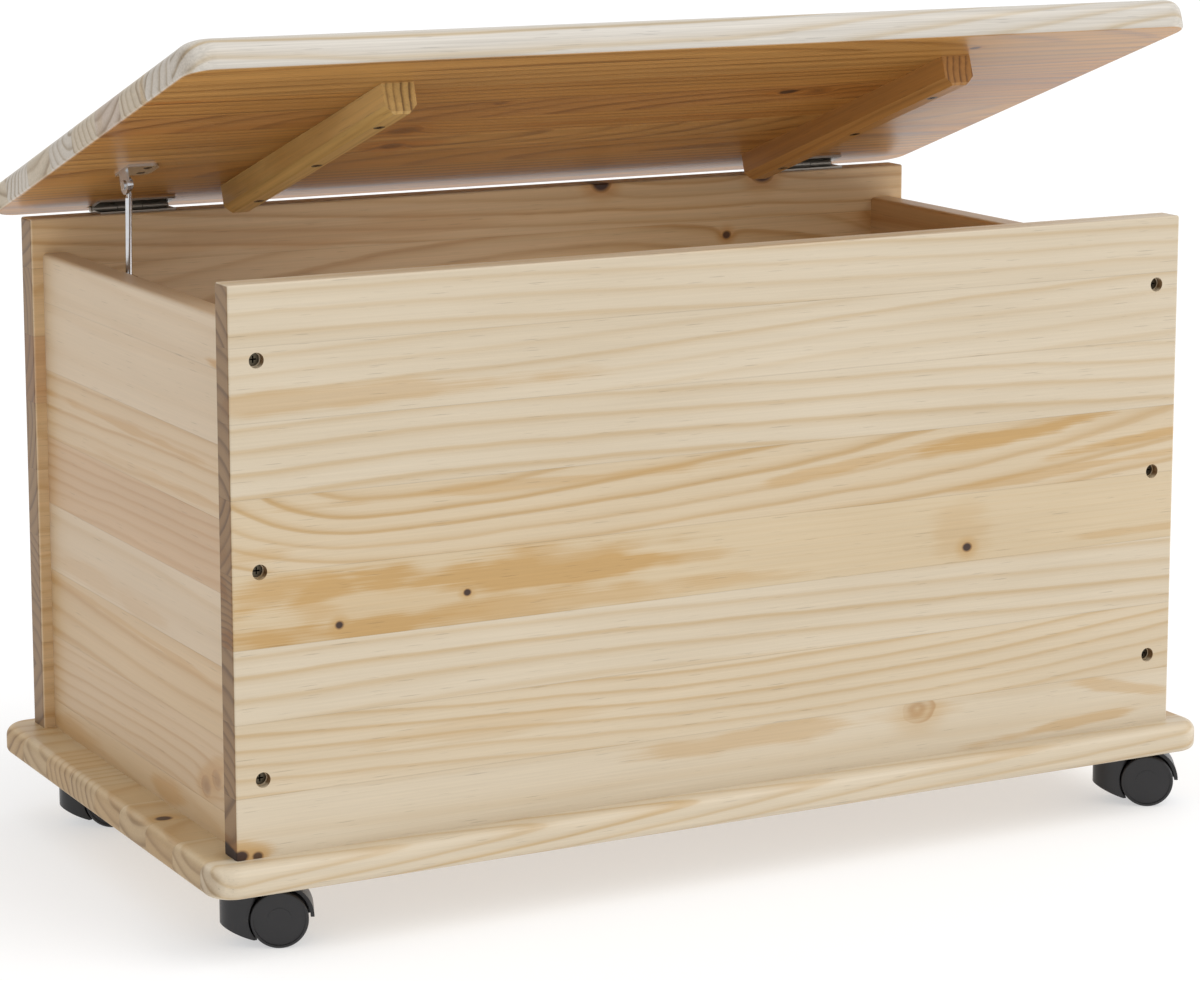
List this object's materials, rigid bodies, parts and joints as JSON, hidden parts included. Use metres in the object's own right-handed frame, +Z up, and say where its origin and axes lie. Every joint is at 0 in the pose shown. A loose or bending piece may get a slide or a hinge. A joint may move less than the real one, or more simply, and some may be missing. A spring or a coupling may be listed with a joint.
{
  "type": "toy box",
  "caption": "Pine toy box on twin-wheel castors with a hinged lid held part open by a sliding-rod stay",
  "frame": {"origin": "on the floor, at the middle of the box that the whole object fills with the lid at its rest angle of 19 degrees", "axes": "+X to the object's right along its length, +Y to the back where the hinges are, +Z up"},
  "size_m": [0.6752, 0.369, 0.5109],
  "materials": {
    "pine": "glued pine staves under clear satin varnish",
    "dark_screw": "burnished zinc, dull",
    "hinge_steel": "burnished steel sheet",
    "bright_steel": "bright zinc-plated",
    "stay_sheet": "grey zinc-plated sheet",
    "guide_plastic": "moulded nylon",
    "black_steel": "black stoved paint",
    "castor_plastic": "black moulded nylon, fine texture",
    "wheel_plastic": "black moulded nylon, smoother than the hood"
  },
  "bodies": {
    "case": {"base_board": "pine", "front_panel": "pine", "back_panel": "pine", "left_side_panel": "pine", "right_side_panel": "pine", "front_panel_screws": "dark_screw", "back_panel_screws": "dark_screw", "base_screws": "dark_screw", "left_hinge_case_leaf": "hinge_steel", "left_hinge_pin": "bright_steel", "right_hinge_case_leaf": "hinge_steel", "right_hinge_pin": "bright_steel", "hinge_case_screws": "bright_steel", "stay_side_plate": "stay_sheet", "stay_side_screws": "bright_steel", "stay_guide_pin": "bright_steel", "castor_front_left_plate": "black_steel", "castor_front_left_kingpin": "bright_steel", "castor_front_right_plate": "black_steel", "castor_front_right_kingpin": "bright_steel", "castor_rear_left_plate": "black_steel", "castor_rear_left_kingpin": "bright_steel", "castor_rear_right_plate": "black_steel", "castor_rear_right_kingpin": "bright_steel", "castor_screws": "bright_steel"},
    "lid": {"lid_panel": "pine", "left_batten": "pine", "right_batten": "pine", "batten_screws": "dark_screw", "left_hinge_lid_leaf": "hinge_steel", "right_hinge_lid_leaf": "hinge_steel", "hinge_lid_screws": "bright_steel", "stay_lid_bracket": "stay_sheet", "stay_bracket_screws": "bright_steel", "stay_rivet": "bright_steel"},
    "stay_rod": {"stay_rod": "bright_steel", "stay_rod_stop": "bright_steel"},
    "stay_guide": {"stay_guide_block": "guide_plastic", "stay_brake_screw": "bright_steel"},
    "castor_front_left_fork": {"castor_front_left_hood": "castor_plastic", "castor_front_left_axle": "bright_steel"},
    "castor_front_left_outer_wheel": {"castor_front_left_outer_wheel": "wheel_plastic"},
    "castor_front_left_inner_wheel": {"castor_front_left_inner_wheel": "wheel_plastic"},
    "castor_front_right_fork": {"castor_front_right_hood": "castor_plastic", "castor_front_right_axle": "bright_steel"},
    "castor_front_right_outer_wheel": {"castor_front_right_outer_wheel": "wheel_plastic"},
    "castor_front_right_inner_wheel": {"castor_front_right_inner_wheel": "wheel_plastic"},
    "castor_rear_left_fork": {"castor_rear_left_hood": "castor_plastic", "castor_rear_left_axle": "bright_steel"},
    "castor_rear_left_outer_wheel": {"castor_rear_left_outer_wheel": "wheel_plastic"},
    "castor_rear_left_inner_wheel": {"castor_rear_left_inner_wheel": "wheel_plastic"},
    "castor_rear_right_fork": {"castor_rear_right_hood": "castor_plastic", "castor_rear_right_axle": "bright_steel"},
    "castor_rear_right_outer_wheel": {"castor_rear_right_outer_wheel": "wheel_plastic"},
    "castor_rear_right_inner_wheel": {"castor_rear_right_inner_wheel": "wheel_plastic"}
  },
  "joints": [
    {"name": "lid_hinge", "type": "hinge", "parent": "case", "child": "lid", "pos_m": [0, 0.16747, 0.381], "axis": [-1, 0, 0], "range_deg": [-19.4, 61]},
    {"name": "stay_rod_pivot", "type": "hinge", "parent": "lid", "child": "stay_rod", "pos_m": [-0.283, 0.06464, 0.40795], "axis": [1, 0, 0], "range_deg": [-9.8, 30.6]},
    {"name": "stay_guide_pivot", "type": "hinge", "parent": "case", "child": "stay_guide", "pos_m": [-0.283, 0.06758, 0.34464], "axis": [-1, 0, 0], "range_deg": [-9.8, 30.6]},
    {"name": "castor_front_left_swivel", "type": "hinge", "parent": "case", "child": "castor_front_left_fork", "pos_m": [-0.3, -0.13753, 0.04], "axis": [0, 0, 1], "continuous": true},
    {"name": "castor_front_left_outer_wheel_spin", "type": "hinge", "parent": "castor_front_left_fork", "child": "castor_front_left_outer_wheel", "pos_m": [-0.28146, -0.14502, 0.0165], "axis": [0.3746, 0.9272, 0], "continuous": true},
    {"name": "castor_front_left_inner_wheel_spin", "type": "hinge", "parent": "castor_front_left_fork", "child": "castor_front_left_inner_wheel", "pos_m": [-0.28146, -0.14502, 0.0165], "axis": [0.3746, 0.9272, 0], "continuous": true},
    {"name": "castor_front_right_swivel", "type": "hinge", "parent": "case", "child": "castor_front_right_fork", "pos_m": [0.3, -0.13753, 0.04], "axis": [0, 0, 1], "continuous": true},
    {"name": "castor_front_right_outer_wheel_spin", "type": "hinge", "parent": "castor_front_right_fork", "child": "castor_front_right_outer_wheel", "pos_m": [0.31696, -0.14813, 0.0165], "axis": [0.5299, 0.848, 0], "continuous": true},
    {"name": "castor_front_right_inner_wheel_spin", "type": "hinge", "parent": "castor_front_right_fork", "child": "castor_front_right_inner_wheel", "pos_m": [0.31696, -0.14813, 0.0165], "axis": [0.5299, 0.848, 0], "continuous": true},
    {"name": "castor_rear_left_swivel", "type": "hinge", "parent": "case", "child": "castor_rear_left_fork", "pos_m": [-0.3, 0.12747, 0.04], "axis": [0, 0, 1], "continuous": true},
    {"name": "castor_rear_left_outer_wheel_spin", "type": "hinge", "parent": "castor_rear_left_fork", "child": "castor_rear_left_outer_wheel", "pos_m": [-0.28173, 0.11933, 0.0165], "axis": [0.4067, 0.9135, 0], "continuous": true},
    {"name": "castor_rear_left_inner_wheel_spin", "type": "hinge", "parent": "castor_rear_left_fork", "child": "castor_rear_left_inner_wheel", "pos_m": [-0.28173, 0.11933, 0.0165], "axis": [0.4067, 0.9135, 0], "continuous": true},
    {"name": "castor_rear_right_swivel", "type": "hinge", "parent": "case", "child": "castor_rear_right_fork", "pos_m": [0.3, 0.12747, 0.04], "axis": [0, 0, 1], "continuous": true},
    {"name": "castor_rear_right_outer_wheel_spin", "type": "hinge", "parent": "castor_rear_right_fork", "child": "castor_rear_right_outer_wheel", "pos_m": [0.31766, 0.11808, 0.0165], "axis": [0.4695, 0.8829, 0], "continuous": true},
    {"name": "castor_rear_right_inner_wheel_spin", "type": "hinge", "parent": "castor_rear_right_fork", "child": "castor_rear_right_inner_wheel", "pos_m": [0.31766, 0.11808, 0.0165], "axis": [0.4695, 0.8829, 0], "continuous": true}
  ],
  "couplings": [
    {"joint": "stay_rod_pivot", "follows": "lid_hinge", "ratio": 0.5},
    {"joint": "stay_guide_pivot", "follows": "lid_hinge", "ratio": 0.5}
  ]
}
